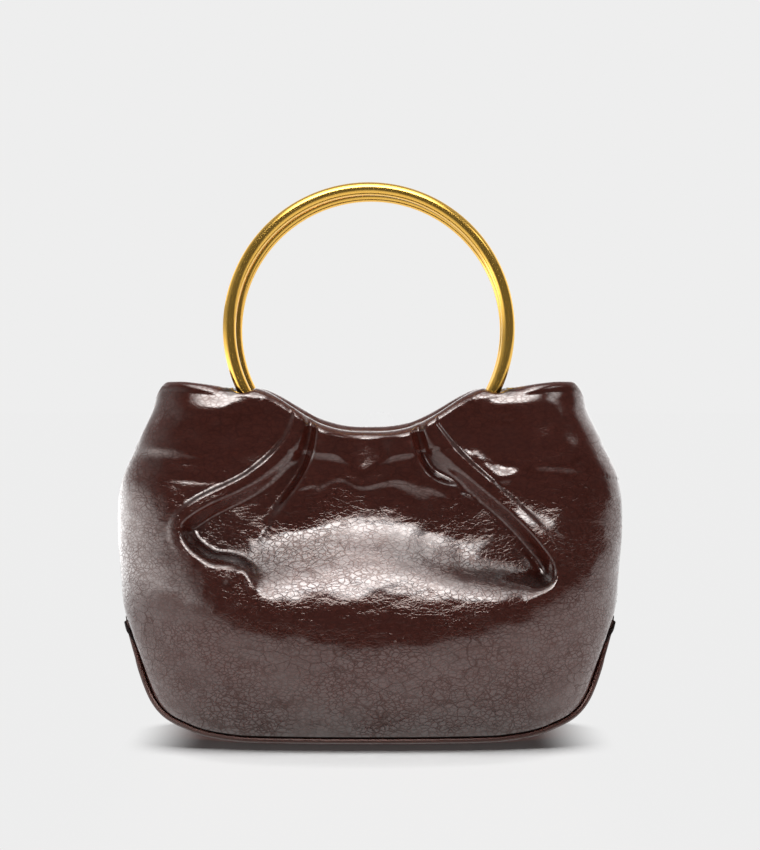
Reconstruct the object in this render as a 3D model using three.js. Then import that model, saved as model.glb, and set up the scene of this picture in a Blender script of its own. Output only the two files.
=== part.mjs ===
// Small gathered handbag of glossy brown leather, carried by two gold ring handles.
// Millimetres, +Z up, the front towards -Y, the origin on the floor under the middle of the base.

import * as THREE from 'three';
import { mergeVertices } from 'three/addons/utils/BufferGeometryUtils.js';

// Driving dimensions
const leather = 1.6;
const gap = 0.35;
const seamGap = 0.4;
const handle = { diameter: 120, wire: 5.4, x: -0.4, y: -13, z: 167.4, clearance: 0.9, steps: 36, sides: 10 };
const piping = { diameter: 2.2, steps: 42, sides: 3 };
const ringExit = { inner: 45.2, outer: 56.2 };
const columns = { neck: 14, exit: 2, shoulder: 5, neckPower: 1.3 };
const baseRows = 2;
const narrowestFold = 2.6;

// The hem along the top. Its rolled lip dips from the shoulders to the neck in the middle.
// Its thickness is given at the neck, where the ring comes out, and on the plain shoulder.
const hem = {
  lip: 3,
  neckZ: 126.2,
  shoulderZ: 143,
  neckHalfWidth: 48,
  dipPower: 1.45,
  cornerRise: 2.6,
  cornerDrop: 5,
  neckThickness: 8,
  exitThickness: 10.2,
  shoulderThickness: 4.8,
  casingRadius: 66,
  shoulderHem: 31,
};

// Half of the base seam from the middle to its pointed end at the side, in equal steps of leather
const baseSeam = [
  { x: 0, y: -34.5, z: 1.45 },
  { x: 28, y: -33.6, z: 1.45 },
  { x: 52, y: -30.2, z: 1.5 },
  { x: 73, y: -21.5, z: 4.4 },
  { x: 89.5, y: -9.5, z: 14 },
  { x: 101.2, y: -2.2, z: 46 },
];

// Cross-sections of a panel above the seam. Each is a curve from side seam to side seam, at one height in
// its middle and another at its sides, half as wide and as deep as the bag. Flat squares its front and
// pinch sharpens its ends. Fan is 0 where the leather is gathered as at the hem and 1 where it is spread
// as at the belly. Rows are the mesh rows up to it from the one below.
const sections = [
  { name: 'foot', midZ: 14, sideZ: 50, wide: 102.2, deep: 38.8, flat: 2.5, pinch: 2, fan: 1, rows: 2 },
  { name: 'belly', midZ: 40, sideZ: 69, wide: 104.2, deep: 42.8, flat: 2.5, pinch: 2, fan: 1, rows: 2 },
  { name: 'crown', midZ: 66, sideZ: 85, wide: 105.3, deep: 37.6, flat: 2.9, pinch: 2, fan: 1, rows: 3 },
  { name: 'shoulder', midZ: 88, sideZ: 103, wide: 104, deep: 25.6, flat: 7, pinch: 2, fan: 0.9, rows: 4 },
  { name: 'waist', midZ: 103, sideZ: 120, wide: 96.6, deep: 22.4, flat: 6, pinch: 1.9, fan: 0.6, rows: 3 },
  { name: 'casing', midZ: 114, sideZ: 133, wide: 90.4, deep: 20.6, flat: 5, pinch: 1.8, fan: 0.25, rows: 2 },
  { name: 'hem', midZ: 126.2, sideZ: 143, wide: 89.3, deep: 19.4, flat: 3.4, pinch: 1.8, fan: 0, rows: 2 },
];
const hemSection = sections.at(-1);

// Pleats (up) and hollows (down) of the front as lines of [x, z] seen from the front. Each bends from its
// start past a corner to its end, falls away over the widths on its outer and inner side, and keeps a
// share of its height at its end.
const frontFolds = [
  { name: 'left outer', from: [-30, 131], via: [-36, 103], to: [-77, 93], up: 4.4, fall: [4, 8], keeps: 0.7 },
  { name: 'left inner', from: [-19.4, 126], via: [-22, 106], to: [-40, 92], up: 4, fall: [2.8, 9], keeps: 0.4 },
  { name: 'right inner', from: [14.4, 126], via: [20, 107], to: [36, 102], up: 4, fall: [2.8, 9], keeps: 0.6 },
  { name: 'right outer', from: [24, 131], via: [38, 110], to: [80, 65], up: 5.2, fall: [3.4, 7], keeps: 0.6 },
  { name: 'left hollow', from: [-24, 93], via: [-50, 88], to: [-72, 83], up: -4.6, fall: [7, 7.5], keeps: 1 },
  { name: 'right hollow', from: [30, 96], via: [50, 86], to: [68, 65], up: -4, fall: [5.5, 7], keeps: 0.6 },
  { name: 'left lip', from: [-77, 76], via: [-62, 64], to: [-44, 73], up: 2.2, fall: [5, 5], keeps: 0.6 },
  { name: 'left dent', from: [-88, 103], via: [-72, 101], to: [-58, 107], up: -3, fall: [4.5, 4], keeps: 0.6 },
  { name: 'right dent', from: [40, 118], via: [50, 108], to: [62, 112], up: -2.4, fall: [4.5, 4.5], keeps: 0.5 },
  { name: 'dimple', from: [-2, 124], via: [-2.5, 117], to: [-3, 111], up: -1.8, fall: [4, 4], keeps: 0.6 },
  { name: 'ring bulge', from: [-19, 112], via: [-2, 105], to: [15, 112], up: 1.6, fall: [4, 4], keeps: 1 },
];

// The back is gathered in the same way, a little flatter, with its sides exchanged
const backFlatness = 0.85;
const backFolds = frontFolds.map((fold) => ({
  ...fold,
  from: [-fold.from[0], fold.from[1]],
  via: [-fold.via[0], fold.via[1]],
  to: [-fold.to[0], fold.to[1]],
  up: fold.up * backFlatness,
}));

// The turned-in side of the hem, as shares of the way down the casing and of closing on the wall
const casingRows = [
  { down: 0.3, closed: 0 },
  { down: 0.65, closed: 0 },
  { down: 0.92, closed: 0.25 },
  { down: 1, closed: 1 },
];
const lipTurns = [60, 120, 180];

const leatherMaterial = { color: 0x3b1812, roughness: 0.22, metalness: 0 };
const pipingMaterial = { color: 0x33150f, roughness: 0.3, metalness: 0 };
const goldMaterial = { color: 0xd8a23c, roughness: 0.14, metalness: 1 };

const { lerp, clamp, degToRad } = THREE.MathUtils;

function smooth(t) {
  const s = clamp(t, 0, 1);
  return s * s * (3 - 2 * s);
}

// Height of the top of the hem
function hemHeight(x) {
  const across = Math.abs(x);
  const dip = smooth(Math.min(1, across / hem.neckHalfWidth) ** hem.dipPower);
  const rise = hem.cornerRise * smooth((across - 54) / 26);
  const drop = hem.cornerDrop * smooth((across - 80) / 9) ** 2;
  return lerp(hem.neckZ, hem.shoulderZ, dip) + rise - drop;
}

// Where a column of leather meets the hem, counted from the middle
function hemReach(column) {
  const steps = Math.abs(column);
  if (steps <= columns.neck) return ringExit.inner * (steps / columns.neck) ** columns.neckPower;
  if (steps <= columns.neck + columns.exit) {
    return lerp(ringExit.inner, ringExit.outer, (steps - columns.neck) / columns.exit);
  }
  const rest = (steps - columns.neck - columns.exit) / columns.shoulder;
  return lerp(ringExit.outer, hemSection.wide, Math.sin(rest * Math.PI / 2));
}

const columnsPerSide = columns.neck + columns.exit + columns.shoulder;

// A point of one cross-section
function sectionPoint(section, column) {
  const spread = Math.sin(Math.abs(column) / columnsPerSide * Math.PI / 2);
  const reach = lerp(hemReach(column) / hemSection.wide, spread, section.fan);
  const x = section.wide * reach * Math.sign(column);
  const y = -section.deep * Math.max(0, 1 - reach ** section.flat) ** (1 / section.pinch);
  if (section === hemSection) return new THREE.Vector3(x, y - seamGap / 2, hemHeight(x) - hem.lip);
  const dip = smooth(Math.min(1, Math.abs(x) / hem.neckHalfWidth) ** hem.dipPower);
  const z = lerp(section.midZ, section.sideZ, lerp(dip, reach ** 2.2, section.fan));
  return new THREE.Vector3(x, y - seamGap / 2, z);
}

// The front base seam from its left end to its right end
const seamPoints = baseSeam.map((row) => new THREE.Vector3(row.x, row.y, row.z));
const seamMirror = seamPoints.slice(1).reverse().map((point) => new THREE.Vector3(-point.x, point.y, point.z));
const seamCurve = new THREE.CatmullRomCurve3([...seamMirror, ...seamPoints], false, 'catmullrom');

function seamPoint(share) {
  const point = seamCurve.getPoint((share + 1) / 2);
  point.z = Math.max(point.z, baseSeam[0].z);
  return point;
}

// The lower edge of a panel, beside the piping and square to the seam
function panelFoot(share) {
  const tangent = seamCurve.getTangent((share + 1) / 2);
  const towardsEnd = Math.abs(share) ** 2;
  const away = new THREE.Vector3(-0.4 * share, -1, 1.2 * (1 - towardsEnd)).normalize();
  away.lerp(new THREE.Vector3(0, 0, 1), 1 - towardsEnd);
  away.addScaledVector(tangent, -away.dot(tangent)).normalize();
  const clearance = lerp(1.5, 5.4, towardsEnd ** 3) * gap;
  return seamPoint(share).addScaledVector(away, piping.diameter / 2 + clearance);
}

// The crest of each fold as a row of short straight pieces
function crestPoints(fold) {
  const corners = [fold.from, fold.via, fold.to].map((corner) => new THREE.Vector2(...corner));
  return new THREE.QuadraticBezierCurve(...corners).getPoints(16);
}

// Distance from a crest, the side of it, and the share of the way along it
function nearestOnCrest(crest, x, z) {
  let best = { distance: Infinity, along: 0, outer: false };
  for (let i = 0; i + 1 < crest.length; i += 1) {
    const step = crest[i + 1].clone().sub(crest[i]);
    const offset = new THREE.Vector2(x, z).sub(crest[i]);
    const share = clamp(offset.dot(step) / step.lengthSq(), 0, 1);
    const away = offset.clone().addScaledVector(step, -share);
    if (away.length() < best.distance) {
      const outward = Math.sign(crest.at(-1).x - crest[0].x) * step.cross(away);
      best = { distance: away.length(), along: (i + share) / (crest.length - 1), outer: outward > 0 };
    }
  }
  return best;
}

// How far the folds lift the leather at a point seen from the front
function foldLift(folds, x, z) {
  let lift = 0;
  for (const fold of folds) {
    const near = nearestOnCrest(fold.crest, x, z);
    const width = Math.hypot(fold.fall[near.outer ? 0 : 1], narrowestFold);
    const height = fold.up * lerp(1, fold.keeps, smooth(near.along));
    lift += height * Math.exp(-((near.distance / width) ** 2));
  }
  return lift;
}

// Normals of a grid of points, from the lines through each point
function gridNormals(rows) {
  return rows.map((row, r) => row.map((point, c) => {
    const left = row[Math.max(0, c - 1)];
    const right = row[Math.min(row.length - 1, c + 1)];
    const below = rows[Math.max(0, r - 1)][c];
    const above = rows[Math.min(rows.length - 1, r + 1)][c];
    return right.clone().sub(left).cross(above.clone().sub(below)).normalize();
  }));
}

// A closed solid from a grid of points on its outer skin, with cells left out where keep says so.
// Its inner skin stops short of the farthest depth.
function sheetSolid(rows, thickness, farthest = Infinity, keep = () => true) {
  const normals = gridNormals(rows).flat();
  const width = rows[0].length;
  const inside = rows.length * width;
  const outerSkin = rows.flat();
  const innerSkin = outerSkin.map((point, i) => {
    const inner = point.clone().addScaledVector(normals[i], -thickness);
    inner.y = Math.min(inner.y, farthest);
    return inner;
  });
  const points = [...outerSkin, ...innerSkin];
  const index = [];
  const quad = (a, b, c, d) => {
    const shorter = points[a].distanceTo(points[c]) < points[b].distanceTo(points[d]) + 1e-6;
    index.push(...(shorter ? [a, b, c, a, c, d] : [b, c, d, b, d, a]));
  };
  const has = (r, c) => r >= 0 && c >= 0 && r + 1 < rows.length && c + 1 < width && keep(r, c);
  for (let r = 0; r + 1 < rows.length; r += 1) {
    for (let c = 0; c + 1 < width; c += 1) {
      if (!has(r, c)) continue;
      const corners = [r * width + c, r * width + c + 1, (r + 1) * width + c + 1, (r + 1) * width + c];
      const beyond = [has(r - 1, c), has(r, c + 1), has(r + 1, c), has(r, c - 1)];
      quad(...corners);
      quad(...corners.map((corner) => corner + inside).reverse());
      for (let side = 0; side < 4; side += 1) {
        if (beyond[side]) continue;
        const from = corners[side];
        const to = corners[(side + 1) % 4];
        quad(to, from, from + inside, to + inside);
      }
    }
  }
  const geometry = new THREE.BufferGeometry().setFromPoints(points);
  geometry.setIndex(index);
  return geometry;
}

// The wall's outer face at a place seen from the front, without its folds
function wallDepth(x, z) {
  const levels = sections.map((section) => {
    const reach = Math.min(1, Math.abs(x) / section.wide);
    const dip = smooth(Math.min(1, Math.abs(x) / hem.neckHalfWidth) ** hem.dipPower);
    const y = -section.deep * (1 - reach ** section.flat) ** (1 / section.pinch);
    return { y, z: lerp(section.midZ, section.sideZ, lerp(dip, reach ** 2.2, section.fan)) };
  });
  const above = Math.max(1, levels.findIndex((level) => level.z > z));
  const share = (z - levels[above - 1].z) / (levels[above].z - levels[above - 1].z);
  return lerp(levels[above - 1].y, levels[above].y, share);
}

// The rolled lip and the turned-in casing above one column of the wall
function hemColumn(plainTop, foldedTop, inward) {
  const across = Math.abs(plainTop.x);
  const atExit = smooth((across - 34) / 10);
  const onShoulder = smooth((across - 57) / 8);
  const atRing = Math.abs(plainTop.y - handle.y) + handle.wire / 2 + handle.clearance + leather;
  const overRing = lerp(hem.neckThickness, hem.exitThickness, atExit);
  const lipThickness = lerp(overRing, hem.shoulderThickness, onShoulder);
  const casingThickness = lerp(atRing / Math.abs(inward.y), hem.shoulderThickness, onShoulder);
  const lipInside = plainTop.clone().addScaledVector(inward, lipThickness);
  const middle = foldedTop.clone().add(lipInside).multiplyScalar(0.5);
  const points = lipTurns.map((turn) => {
    const angle = degToRad(turn);
    const point = middle.clone().addScaledVector(foldedTop.clone().sub(middle), Math.cos(angle));
    point.z += hem.lip * Math.sin(angle);
    return point;
  });
  const bottom = handle.z - Math.sqrt(Math.max(hem.casingRadius ** 2 - across ** 2, hem.shoulderHem ** 2));
  const wallThere = lerp(wallDepth(plainTop.x, bottom) - plainTop.y, 0, onShoulder);
  const closedAt = leather + 2.4 + wallThere;
  for (const row of casingRows) {
    const open = lerp(lipThickness, casingThickness, smooth(row.down / 0.5));
    const closing = row.closed * (1 - onShoulder);
    const point = plainTop.clone().addScaledVector(inward, lerp(open, closedAt, closing));
    point.z = lerp(plainTop.z, bottom, row.down);
    points.push(point);
  }
  const nearest = -seamGap / 2 + plainTop.y / 4;
  for (const point of points) point.y = Math.min(point.y, nearest);
  return points;
}

// One pleated panel with its hem turned in round the ring
function panelSolid(foldTable) {
  const folds = foldTable.map((fold) => ({ ...fold, crest: crestPoints(fold) }));
  const plainColumns = [];
  for (let column = -columnsPerSide; column <= columnsPerSide; column += 1) {
    const foot = panelFoot(column / columnsPerSide);
    const levels = sections.map((section) => sectionPoint(section, column));
    const curve = new THREE.CatmullRomCurve3([foot, ...levels], false, 'centripetal');
    const points = [foot];
    sections.forEach((section, below) => {
      for (let row = 1; row <= section.rows; row += 1) {
        const point = curve.getPoint((below + row / section.rows) / sections.length);
        point.y = Math.min(point.y, -seamGap / 2);
        points.push(point);
      }
    });
    plainColumns.push(points);
  }
  const wallRows = plainColumns[0].map((_, r) => plainColumns.map((points) => points[r]));
  const normals = gridNormals(wallRows);
  const folded = wallRows.map((row, r) => row.map((point, c) => {
    const lift = foldLift(folds, point.x, point.z);
    return point.clone().addScaledVector(normals[r][c], lift);
  }));
  const top = wallRows.length - 1;
  const hemColumns = wallRows[top].map((point, c) => {
    const inward = normals[top][c].clone().setZ(0).normalize().negate();
    return hemColumn(point, folded[top][c], inward);
  });
  const hemRows = hemColumns[0].map((_, r) => hemColumns.map((points) => points[r]));
  const exitColumn = (c) => {
    const first = c < columnsPerSide ? columnsPerSide - c - 1 : c - columnsPerSide;
    return first >= columns.neck && first < columns.neck + columns.exit;
  };
  const inLip = (r) => r >= top && r < top + lipTurns.length;
  return sheetSolid([...folded, ...hemRows], leather, -seamGap / 2, (r, c) => !(inLip(r) && exitColumn(c)));
}

// The boat-shaped base between the two seams, flat where it stands on the floor
function baseSolid() {
  const rows = [];
  for (let r = 0; r <= baseRows; r += 1) {
    const across = 1 - 2 * r / baseRows;
    const row = [];
    for (let c = 0; c <= piping.steps; c += 1) {
      const share = 2 * c / piping.steps - 1;
      const seam = seamPoint(share);
      const tangent = seamCurve.getTangent((share + 1) / 2);
      const outward = new THREE.Vector3(tangent.z, 0, -tangent.x).normalize();
      const square = Math.sqrt(1 - tangent.y ** 2);
      const halfWidth = Math.abs(seam.y) - (piping.diameter / 2 + 1.2 * gap) / square;
      const point = seam.clone().addScaledVector(outward, baseSeam[0].z);
      row.push(new THREE.Vector3(point.x, across * halfWidth, Math.max(0, point.z)));
    }
    rows.push(row);
  }
  return sheetSolid(rows, leather);
}

function pipingSolid() {
  const points = [];
  for (let i = 0; i <= piping.steps; i += 1) points.push(seamPoint(2 * i / piping.steps - 1));
  const round = new THREE.Shape().absarc(0, 0, piping.diameter / 2, 0, 2 * Math.PI);
  return new THREE.ExtrudeGeometry(round, {
    steps: piping.steps,
    curveSegments: piping.sides,
    extrudePath: new THREE.CatmullRomCurve3(points),
  });
}

function ringSolid() {
  const middleRadius = (handle.diameter - handle.wire) / 2;
  const ring = new THREE.TorusGeometry(middleRadius, handle.wire / 2, handle.sides, handle.steps);
  return ring.rotateX(Math.PI / 2);
}

function piece(name, geometry, material) {
  const bare = new THREE.BufferGeometry().setAttribute('position', geometry.getAttribute('position'));
  bare.setIndex(geometry.index);
  const closed = mergeVertices(bare, 1e-4);
  closed.computeVertexNormals();
  const mesh = new THREE.Mesh(closed, new THREE.MeshStandardMaterial(material));
  mesh.name = name;
  return mesh;
}

// Each half of the bag is built as a front half, and the back half is turned round
function half(side, folds) {
  const group = new THREE.Group();
  const ring = piece(`${side}_ring`, ringSolid(), goldMaterial);
  ring.position.set(handle.x, handle.y, handle.z);
  group.add(piece(`${side}_panel`, panelSolid(folds), leatherMaterial));
  group.add(piece(`${side}_piping`, pipingSolid(), pipingMaterial));
  group.add(ring);
  return group;
}

const handbag = new THREE.Group();
const back = half('back', backFolds);
back.rotation.z = Math.PI;
handbag.add(half('front', frontFolds), back, piece('base_gusset', baseSolid(), leatherMaterial));

export default handbag;
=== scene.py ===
import math

import bpy
import numpy as np
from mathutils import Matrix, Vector, noise


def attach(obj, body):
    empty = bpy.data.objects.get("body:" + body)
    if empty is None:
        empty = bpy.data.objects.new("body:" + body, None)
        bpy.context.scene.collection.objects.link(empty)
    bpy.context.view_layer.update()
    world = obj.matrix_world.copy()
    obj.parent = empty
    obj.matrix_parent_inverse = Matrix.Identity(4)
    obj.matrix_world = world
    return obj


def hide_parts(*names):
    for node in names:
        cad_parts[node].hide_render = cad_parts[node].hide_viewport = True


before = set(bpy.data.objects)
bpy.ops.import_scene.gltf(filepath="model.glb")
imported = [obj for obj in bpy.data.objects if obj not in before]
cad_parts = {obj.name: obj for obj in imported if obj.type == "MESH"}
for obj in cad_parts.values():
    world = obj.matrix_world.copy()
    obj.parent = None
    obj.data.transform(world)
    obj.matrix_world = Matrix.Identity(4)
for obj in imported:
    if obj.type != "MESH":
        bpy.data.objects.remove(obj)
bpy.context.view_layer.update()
scene = bpy.context.scene

# Lengths below are in millimetres, the meshes and the studio are in metres
metre = 0.001


def pickNothing():
    if bpy.context.object and bpy.context.object.mode != "OBJECT":
        bpy.ops.object.mode_set(mode="OBJECT")
    bpy.ops.object.select_all(action="DESELECT")


def smooth(t):
    s = np.clip(t, 0, 1)
    return s * s * (3 - 2 * s)


def between(a, b, t):
    return a + (b - a) * t


def unit(vectors):
    return vectors / np.linalg.norm(vectors, axis=-1, keepdims=True)


def through(points, places):
    # an even curve through the points, places counted in points from 0
    pts = np.array(points, float)
    ends = np.vstack([2 * pts[0] - pts[1], pts, 2 * pts[-1] - pts[-2]])
    i = np.clip(np.floor(places).astype(int), 0, len(pts) - 2)
    f = (places - i)[..., None]
    before, start, end, after = ends[i], ends[i + 1], ends[i + 2], ends[i + 3]
    bend = (2 * before - 5 * start + 4 * end - after) * f ** 2
    twist = (3 * start - before - 3 * end + after) * f ** 3
    return 0.5 * (2 * start + (end - before) * f + bend + twist)


# Camera at the photograph's height and distance
cameraFit = {
    "distance": 800,
    "height": 138,
    "aside": 4.2,
    "aimHeight": 127.56,
    "lens": 81.1,
    "sensor": 36,
    "clip": (0.01, 100),
}


def addCamera():
    eye = Vector((cameraFit["aside"], -cameraFit["distance"], cameraFit["height"])) * metre
    aim = Vector((cameraFit["aside"], 0, cameraFit["aimHeight"])) * metre
    bpy.ops.object.camera_add(location=eye)
    camera = bpy.context.object
    camera.name = "photoCamera"
    camera.rotation_euler = (aim - eye).to_track_quat("-Z", "Y").to_euler()
    camera.data.lens = cameraFit["lens"]
    camera.data.sensor_width = cameraFit["sensor"]
    camera.data.clip_start, camera.data.clip_end = cameraFit["clip"]
    scene.camera = camera


pickNothing()
addCamera()
print("camera placed")


# Node helpers for the studio and the materials
def put(tree, kind, **values):
    node = tree.nodes.new(kind)
    for key, value in values.items():
        if key in node.inputs:
            node.inputs[key].default_value = value
        else:
            setattr(node, key, value)
    return node


def join(tree, start, end):
    tree.links.new(start, end)


def sums(tree, operation, first, second=0.0, clamp=False):
    node = put(tree, "ShaderNodeMath", operation=operation, use_clamp=clamp)
    for socket, value in zip(node.inputs, (first, second)):
        if isinstance(value, (int, float)):
            socket.default_value = value
        else:
            join(tree, value, socket)
    return node.outputs[0]


def weighted(tree, pairs):
    # the sum of each value times its weight
    parts = [sums(tree, "MULTIPLY", value, weight) for value, weight in pairs]
    total = parts[0]
    for part in parts[1:]:
        total = sums(tree, "ADD", total, part)
    return total


def ramp(tree, value, low, high, bottom=0.0, top=1.0):
    node = put(tree, "ShaderNodeMapRange", interpolation_type="SMOOTHSTEP")
    for name, number in (("From Min", low), ("From Max", high), ("To Min", bottom), ("To Max", top)):
        node.inputs[name].default_value = number
    join(tree, value, node.inputs["Value"])
    return node.outputs["Result"]


def placeIn(tree, space="Object"):
    return put(tree, "ShaderNodeTexCoord").outputs[space]


def axesOf(tree, place):
    split = put(tree, "ShaderNodeSeparateXYZ")
    join(tree, place, split.inputs[0])
    return split.outputs


def noiseAt(tree, place, scale, detail):
    node = put(tree, "ShaderNodeTexNoise", Scale=scale, Detail=detail)
    join(tree, place, node.inputs["Vector"])
    return node


def mixNumbers(tree, share, first, second):
    node = put(tree, "ShaderNodeMix")
    for socket, value in zip((node.inputs[0], node.inputs[2], node.inputs[3]), (share, first, second)):
        if isinstance(value, (int, float)):
            socket.default_value = value
        else:
            join(tree, value, socket)
    return node.outputs[0]


def mixTones(tree, share, dark, light):
    node = put(tree, "ShaderNodeMix", data_type="RGBA")
    node.inputs[6].default_value = (*dark, 1)
    node.inputs[7].default_value = (*light, 1)
    join(tree, share, node.inputs[0])
    return node.outputs[2]


def newMaterial(name, constants):
    # constants are set on the shader's own sockets
    material = bpy.data.materials.new(name)
    material.use_nodes = True
    shader = material.node_tree.nodes["Principled BSDF"]
    for socket, value in constants.items():
        shader.inputs[socket].default_value = value
    return material, material.node_tree, shader.inputs


# Studio: a bright overhead softbox, pale room behind and at the sides, dark towards the camera.
# Spans are of directions: a box has a middle and a half width, a fade where it starts and ends.
studio = {
    "grey": 0.855,
    "ambient": 0.025,
    "overhead": 0.05,
    "overheadPower": 3.0,
    "frontFill": 0.07,
    "keyStrength": 3.12,
    "keyAngle": 11,
    "keyLean": 12,
    "lowestUp": 0.02,
    "boxUp": (0.1, 0.3),
    "boxEdge": (0.08, 0.3),
    "softboxBright": 12.0,
    "softboxDim": 4.2,
    "softboxFade": (-0.5, -1.2),
    "softboxAcross": (-0.08, 0.66),
    "softboxAlong": (-0.9, 0.78),
    "rightBox": 3.0,
    "rightBoxAcross": (1.15, 0.3),
    "rightBoxAlong": (-0.9, 0.45),
    "ceiling": 0.35,
    "ceilingUp": (0.45, 0.8),
    "ceilingFar": (-0.4, 0.1),
    "roomBright": 1.2,
    "roomFar": (-0.05, 0.35),
    "leftBright": 0.3,
    "leftFade": (0.55, 0.85),
    "sidesUp": (0.75, 0.35),
    "frontDark": 0.08,
}


def boxLight(tree, up, acrossSpan, alongSpan, bright):
    outside, inside = studio["boxEdge"]
    box = ramp(tree, up, *studio["boxUp"])
    for position, (middle, half) in (acrossSpan, alongSpan):
        off = sums(tree, "ABSOLUTE", sums(tree, "SUBTRACT", position, middle))
        box = sums(tree, "MULTIPLY", box, ramp(tree, off, half + outside, half - inside))
    return sums(tree, "MULTIPLY", box, bright)


def glossLight(tree, right, far, up):
    # what the gloss shows
    upSafe = sums(tree, "MAXIMUM", up, studio["lowestUp"])
    across = sums(tree, "DIVIDE", right, upSafe)
    along = sums(tree, "DIVIDE", far, upSafe)
    fade = ramp(tree, along, *studio["softboxFade"], studio["softboxDim"], studio["softboxBright"])
    softbox = boxLight(tree, up, (across, studio["softboxAcross"]), (along, studio["softboxAlong"]), fade)
    rightSpans = (across, studio["rightBoxAcross"]), (along, studio["rightBoxAlong"])
    boxes = sums(tree, "ADD", softbox, boxLight(tree, up, *rightSpans, studio["rightBox"]))
    room = ramp(tree, far, *studio["roomFar"], 0, studio["roomBright"])
    left = ramp(tree, sums(tree, "MULTIPLY", right, -1), *studio["leftFade"], 0, studio["leftBright"])
    sides = sums(tree, "MULTIPLY", sums(tree, "MAXIMUM", room, left), ramp(tree, up, *studio["sidesUp"]))
    ceiling = ramp(tree, up, *studio["ceilingUp"], 0, studio["ceiling"])
    ceiling = sums(tree, "MULTIPLY", ceiling, ramp(tree, far, *studio["ceilingFar"]))
    above = sums(tree, "ADD", ceiling, studio["frontDark"])
    return sums(tree, "ADD", sums(tree, "ADD", boxes, sides), above)


def softLight(tree, far, up):
    # what lights the matt surfaces, beside the key
    lobe = sums(tree, "POWER", sums(tree, "MAXIMUM", up, 0.0), studio["overheadPower"])
    soft = sums(tree, "ADD", sums(tree, "MULTIPLY", lobe, studio["overhead"]), studio["ambient"])
    front = sums(tree, "MAXIMUM", sums(tree, "MULTIPLY", far, -studio["frontFill"]), 0.0)
    return sums(tree, "ADD", soft, front)


def makeWorld():
    world = bpy.data.worlds.new("softStudio")
    scene.world = world
    world.use_nodes = True
    world.cycles.sampling_method = "NONE"
    tree = world.node_tree
    tree.nodes.clear()
    right, far, up = axesOf(tree, placeIn(tree, "Generated"))
    gloss = glossLight(tree, right, far, up)
    soft = softLight(tree, far, up)
    rays = put(tree, "ShaderNodeLightPath").outputs
    direct = sums(tree, "SUBTRACT", 1.0, rays["Diffuse Depth"], True)
    inGloss = sums(tree, "MULTIPLY", rays["Is Glossy Ray"], direct)
    lit = mixNumbers(tree, inGloss, soft, gloss)
    light = put(tree, "ShaderNodeBackground", Color=(1, 1, 1, 1))
    join(tree, mixNumbers(tree, rays["Is Camera Ray"], lit, studio["grey"]), light.inputs["Strength"])
    join(tree, light.outputs[0], put(tree, "ShaderNodeOutputWorld").inputs[0])


def addKeyLight():
    # a small overhead key gives the floor its close shadow, the softbox alone shows in the gloss
    pickNothing()
    lean = (math.radians(-studio["keyLean"]), 0, 0)
    bpy.ops.object.light_add(type="SUN", location=(0, 0, 1), rotation=lean)
    key = bpy.context.object
    key.name = "overheadKey"
    key.data.energy = studio["keyStrength"]
    key.data.angle = math.radians(studio["keyAngle"])
    key.visible_glossy = False


# Each fade of the card runs from a dim share at its first place to full light at its second
sideCard = {
    "place": (-0.25, 0.0, 0.11),
    "wide": 0.64,
    "tall": 0.22,
    "bright": 3.6,
    "topFade": (0.2, 0.05, 0.12),
    "frontFade": (-0.32, 0.0, 0.25),
    "footFade": (0.0, 0.07, 0.28),
}


def addSideCard():
    # a lit card at the left, seen in the gloss alone
    pickNothing()
    bpy.ops.mesh.primitive_plane_add(size=1, location=(0, 0, 0), rotation=(0, math.radians(90), 0))
    card = bpy.context.object
    card.name = "sideCard"
    bpy.ops.object.transform_apply(location=True, rotation=True, scale=True)
    bpy.ops.transform.resize(value=(1, sideCard["wide"], sideCard["tall"]))
    bpy.ops.transform.translate(value=sideCard["place"])
    bpy.ops.object.transform_apply(location=True, rotation=True, scale=True)
    constants = {"Base Color": (0, 0, 0, 1), "Emission Strength": sideCard["bright"]}
    material, tree, sockets = newMaterial("cardLight", constants)
    _, far, up = axesOf(tree, placeIn(tree))
    lit = ramp(tree, up, *sideCard["topFade"])
    for position, fade in ((far, "frontFade"), (up, "footFade")):
        lit = sums(tree, "MULTIPLY", lit, ramp(tree, position, *sideCard[fade]))
    join(tree, lit, sockets["Emission Color"])
    card.data.materials.append(material)
    card.visible_camera = False
    card.visible_diffuse = False
    card.visible_shadow = False


floorPlane = {
    "size": 40.0,
    "shade": 0.83,
    "dark": (-0.58, -0.08),
    "darkShade": 0.05,
    "inGloss": 1.2,
    "glow": 0.85,
    "glowSpan": (0.066, 0.1),
}


def addFloor():
    pickNothing()
    bpy.ops.mesh.primitive_plane_add(size=floorPlane["size"], location=(0, 0, 0))
    floor = bpy.context.object
    floor.name = "studioFloor"
    constants = {"Roughness": 1, "Specular IOR Level": 0, "Emission Strength": floorPlane["glow"]}
    material, tree, sockets = newMaterial("paleFloor", constants)
    across, far, _ = axesOf(tree, placeIn(tree))
    glossy = put(tree, "ShaderNodeLightPath").outputs["Is Glossy Ray"]
    # painted reflection: in the gloss the floor glows instead of taking light, so the bag's shadow on it
    # is not reflected, and it goes dark towards the camera, where the light ends
    inGloss = ramp(tree, far, *floorPlane["dark"], floorPlane["darkShade"], floorPlane["inGloss"])
    # painted light: beside the bag the floor glows, filling in the sides of the bag's shadow so that only
    # the close shadow stays
    beside = ramp(tree, sums(tree, "ABSOLUTE", across), *floorPlane["glowSpan"])
    selfLit = sums(tree, "MAXIMUM", glossy, beside)
    join(tree, mixTones(tree, selfLit, [floorPlane["shade"]] * 3, (0, 0, 0)), sockets["Base Color"])
    join(tree, mixNumbers(tree, glossy, beside, inGloss), sockets["Emission Color"])
    floor.data.materials.append(material)


scene.view_settings.view_transform = "Standard"
makeWorld()
addKeyLight()
addFloor()
addSideCard()
print("studio set up")

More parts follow.
